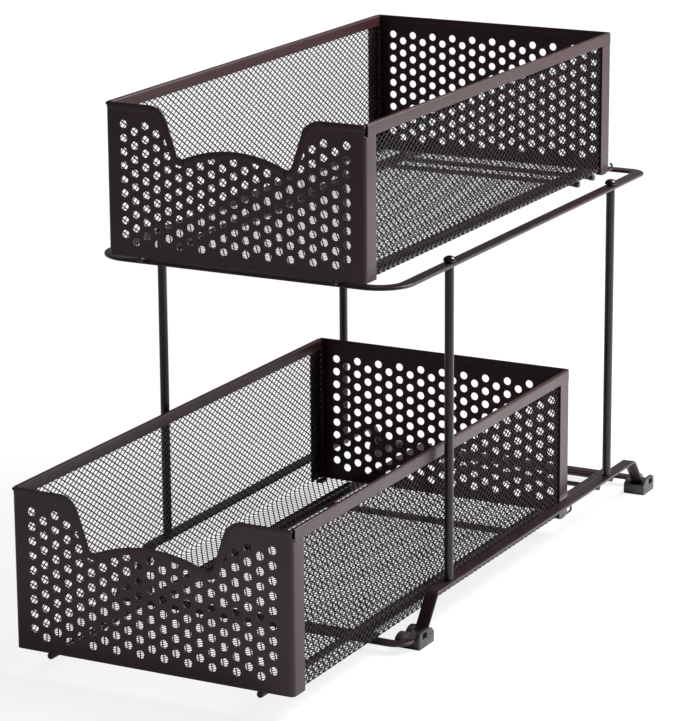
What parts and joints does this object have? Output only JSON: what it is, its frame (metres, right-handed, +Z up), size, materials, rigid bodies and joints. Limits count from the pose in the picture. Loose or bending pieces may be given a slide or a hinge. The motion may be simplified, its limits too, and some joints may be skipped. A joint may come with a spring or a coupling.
{
  "type": "under sink organizer",
  "caption": "Two-tier under sink organizer: a bent flat-strip frame on moulded feet carries sliding baskets with perforated end panels, wire mesh sides and scooped fronts.",
  "frame": {"origin": "on the floor, under the middle of the whole organizer's bounding box with the lower basket drawn out as pictured", "axes": "+Z up; +Y to the back, so the baskets slide out along -Y; +X to the right as seen from the front"},
  "size_m": [0.2398, 0.571, 0.3654],
  "materials": {
    "frame_paint": "satin",
    "panel_paint": "satin",
    "mesh_paint": "satin",
    "nut_metal": "polished",
    "foot_plastic": "matte",
    "bumper_rubber": "matte"
  },
  "bodies": {
    "frame": {"upper_ring": "frame_paint", "lower_left_rail": "frame_paint", "lower_right_rail": "frame_paint", "lower_front_bar": "frame_paint", "lower_rear_bar": "frame_paint", "front_left_post": "frame_paint", "front_right_post": "frame_paint", "rear_left_post": "frame_paint", "rear_right_post": "frame_paint", "cap_nuts": "nut_metal", "post_screws": "nut_metal", "upper_left_slide": "frame_paint", "upper_right_slide": "frame_paint", "lower_left_slide": "frame_paint", "lower_right_slide": "frame_paint", "lower_middle_strip": "frame_paint", "upper_cross_rods": "frame_paint", "lower_cross_rods": "frame_paint", "upper_rod_caps": "foot_plastic", "lower_rod_caps": "foot_plastic", "front_left_foot": "foot_plastic", "front_right_foot": "foot_plastic", "rear_left_foot": "foot_plastic", "rear_right_foot": "foot_plastic"},
    "lower_basket": {"lower_front_panel": "panel_paint", "lower_rear_panel": "panel_paint", "lower_floor_mesh": "mesh_paint", "lower_left_mesh": "mesh_paint", "lower_right_mesh": "mesh_paint", "lower_left_rim": "panel_paint", "lower_right_rim": "panel_paint", "lower_left_runner": "frame_paint", "lower_right_runner": "frame_paint", "lower_tails": "frame_paint", "lower_bumpers": "bumper_rubber"},
    "upper_basket": {"upper_front_panel": "panel_paint", "upper_rear_panel": "panel_paint", "upper_floor_mesh": "mesh_paint", "upper_left_mesh": "mesh_paint", "upper_right_mesh": "mesh_paint", "upper_left_rim": "panel_paint", "upper_right_rim": "panel_paint", "upper_left_runner": "frame_paint", "upper_right_runner": "frame_paint", "upper_tails": "frame_paint", "upper_bumpers": "bumper_rubber"}
  },
  "joints": [
    {"name": "lower_basket_slide", "type": "slide", "parent": "frame", "child": "lower_basket", "axis": [0, -1, 0], "range_m": [-0.117, 0.16]},
    {"name": "upper_basket_slide", "type": "slide", "parent": "frame", "child": "upper_basket", "axis": [0, -1, 0], "range_m": [0, 0.26]}
  ]
}
